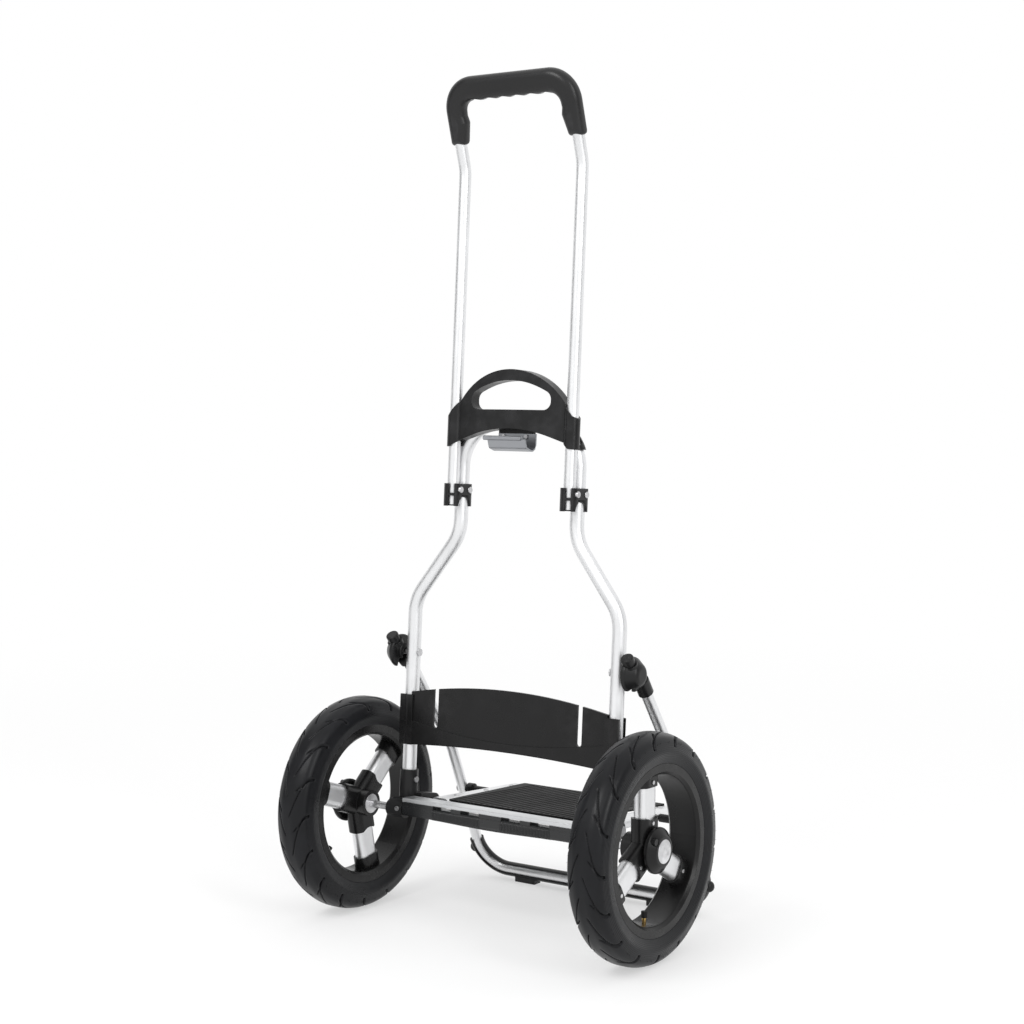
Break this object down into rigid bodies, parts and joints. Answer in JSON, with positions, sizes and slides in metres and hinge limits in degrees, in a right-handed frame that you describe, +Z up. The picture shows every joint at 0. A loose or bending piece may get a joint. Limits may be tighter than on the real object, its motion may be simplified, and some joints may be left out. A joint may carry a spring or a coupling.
{
  "type": "folding bag trolley chassis",
  "caption": "Folding two-wheeled bag trolley frame of bent aluminium tube with a sliding handle, fold-down load platform, foot loop and spoked air-tyre wheels.",
  "frame": {"origin": "on the floor under the middle of the footprint, halfway between the wheels", "axes": "+Z up, +Y from the wheels towards the platform and foot loop, +X towards the wheel on the right when facing along +Y"},
  "size_m": [0.5206, 0.3904, 1.1192],
  "materials": {
    "aluminium_tube": "satin anodised",
    "hook_metal": "satin grey anodised",
    "black_plastic": "fine-textured matte",
    "gloss_plastic": "glossy moulded, finely ribbed in zones",
    "tyre_rubber": "satin, with moulded tread grooves",
    "soft_rubber": "matte",
    "steel": "zinc plated",
    "silver_disc": "satin silver",
    "brass": "plain"
  },
  "bodies": {
    "chassis": {"main_tube": "aluminium_tube", "carry_bracket": "black_plastic", "bag_hook": "hook_metal", "tube_clamp_left": "black_plastic", "tube_clamp_right": "black_plastic", "clamp_screws": "steel", "back_panel": "black_plastic", "corner_bracket_left": "black_plastic", "corner_bracket_right": "black_plastic", "frame_screws": "steel", "axle_rod": "steel", "axle_beam": "gloss_plastic", "stay_studs": "steel", "platform_pins": "steel"},
    "handle": {"handle_tube": "aluminium_tube", "handle_grip": "black_plastic", "handle_plugs": "black_plastic"},
    "handle_catch_right": {"handle_catch_right": "black_plastic"},
    "handle_catch_left": {"handle_catch_left": "black_plastic"},
    "platform": {"platform_rail_left": "aluminium_tube", "platform_rail_right": "aluminium_tube", "platform_bar": "aluminium_tube", "platform_plate": "black_plastic", "platform_rivets": "steel", "stay_arm_left": "black_plastic", "stay_arm_right": "black_plastic", "loop_pins": "steel"},
    "foot_loop": {"loop_tube": "aluminium_tube", "foot_shoe": "black_plastic", "foot_pads": "black_plastic", "stay_joint_left": "black_plastic", "stay_joint_right": "black_plastic"},
    "stay_button_right": {"stay_button_right": "black_plastic"},
    "stay_button_left": {"stay_button_left": "black_plastic"},
    "wheel_right": {"wheel_right_bearings": "steel", "wheel_right_cap_disc": "silver_disc", "wheel_right_hub": "black_plastic", "wheel_right_hub_cap": "black_plastic", "wheel_right_inner_tube": "soft_rubber", "wheel_right_rim": "black_plastic", "wheel_right_rim_sockets": "black_plastic", "wheel_right_spokes": "aluminium_tube", "wheel_right_tyre": "tyre_rubber", "wheel_right_valve_cap": "soft_rubber", "wheel_right_valve_stem": "brass", "wheel_right_wheel_screws": "steel"},
    "wheel_left": {"wheel_left_bearings": "steel", "wheel_left_cap_disc": "silver_disc", "wheel_left_hub": "black_plastic", "wheel_left_hub_cap": "black_plastic", "wheel_left_inner_tube": "soft_rubber", "wheel_left_rim": "black_plastic", "wheel_left_rim_sockets": "black_plastic", "wheel_left_spokes": "aluminium_tube", "wheel_left_tyre": "tyre_rubber", "wheel_left_valve_cap": "soft_rubber", "wheel_left_valve_stem": "brass", "wheel_left_wheel_screws": "steel"},
    "release_right": {"wheel_right_release_button": "black_plastic"},
    "release_left": {"wheel_left_release_button": "black_plastic"}
  },
  "joints": [
    {"name": "handle_slide", "type": "slide", "parent": "chassis", "child": "handle", "axis": [0, 0.068, 0.9977], "range_m": [-0.295, 0]},
    {"name": "catch_press_right", "type": "slide", "parent": "handle", "child": "handle_catch_right", "axis": [0, -0.9977, 0.068], "range_m": [0, 0.0022], "stiffness_N_per_m": 400, "springref_m": -0.002},
    {"name": "catch_press_left", "type": "slide", "parent": "handle", "child": "handle_catch_left", "axis": [0, -0.9977, 0.068], "range_m": [0, 0.0022], "stiffness_N_per_m": 400, "springref_m": -0.002},
    {"name": "platform_fold", "type": "hinge", "parent": "chassis", "child": "platform", "pos_m": [0, 0.00821, 0.14604], "axis": [1, 0, 0], "range_deg": [0, 87]},
    {"name": "loop_fold", "type": "hinge", "parent": "platform", "child": "foot_loop", "pos_m": [0, 0.13784, 0.1362], "axis": [1, 0, 0], "range_deg": [-102, 0]},
    {"name": "stay_release_right", "type": "slide", "parent": "foot_loop", "child": "stay_button_right", "axis": [0, 0.575, -0.8181], "range_m": [0, 0.004], "stiffness_N_per_m": 600, "springref_m": -0.003},
    {"name": "stay_release_left", "type": "slide", "parent": "foot_loop", "child": "stay_button_left", "axis": [0, 0.575, -0.8181], "range_m": [0, 0.004], "stiffness_N_per_m": 600, "springref_m": -0.003},
    {"name": "wheel_spin_right", "type": "hinge", "parent": "chassis", "child": "wheel_right", "pos_m": [0.231, -0.05, 0.145], "axis": [1, 0, 0], "continuous": true},
    {"name": "wheel_spin_left", "type": "hinge", "parent": "chassis", "child": "wheel_left", "pos_m": [-0.231, -0.05, 0.145], "axis": [1, 0, 0], "continuous": true},
    {"name": "wheel_release_right", "type": "slide", "parent": "wheel_right", "child": "release_right", "axis": [-1, 0, 0], "range_m": [0, 0.003], "stiffness_N_per_m": 500, "springref_m": -0.003},
    {"name": "wheel_release_left", "type": "slide", "parent": "wheel_left", "child": "release_left", "axis": [1, 0, 0], "range_m": [0, 0.003], "stiffness_N_per_m": 500, "springref_m": -0.003}
  ],
  "couplings": [
    {"joint": "loop_fold", "follows": "platform_fold", "ratio": -1.17}
  ]
}
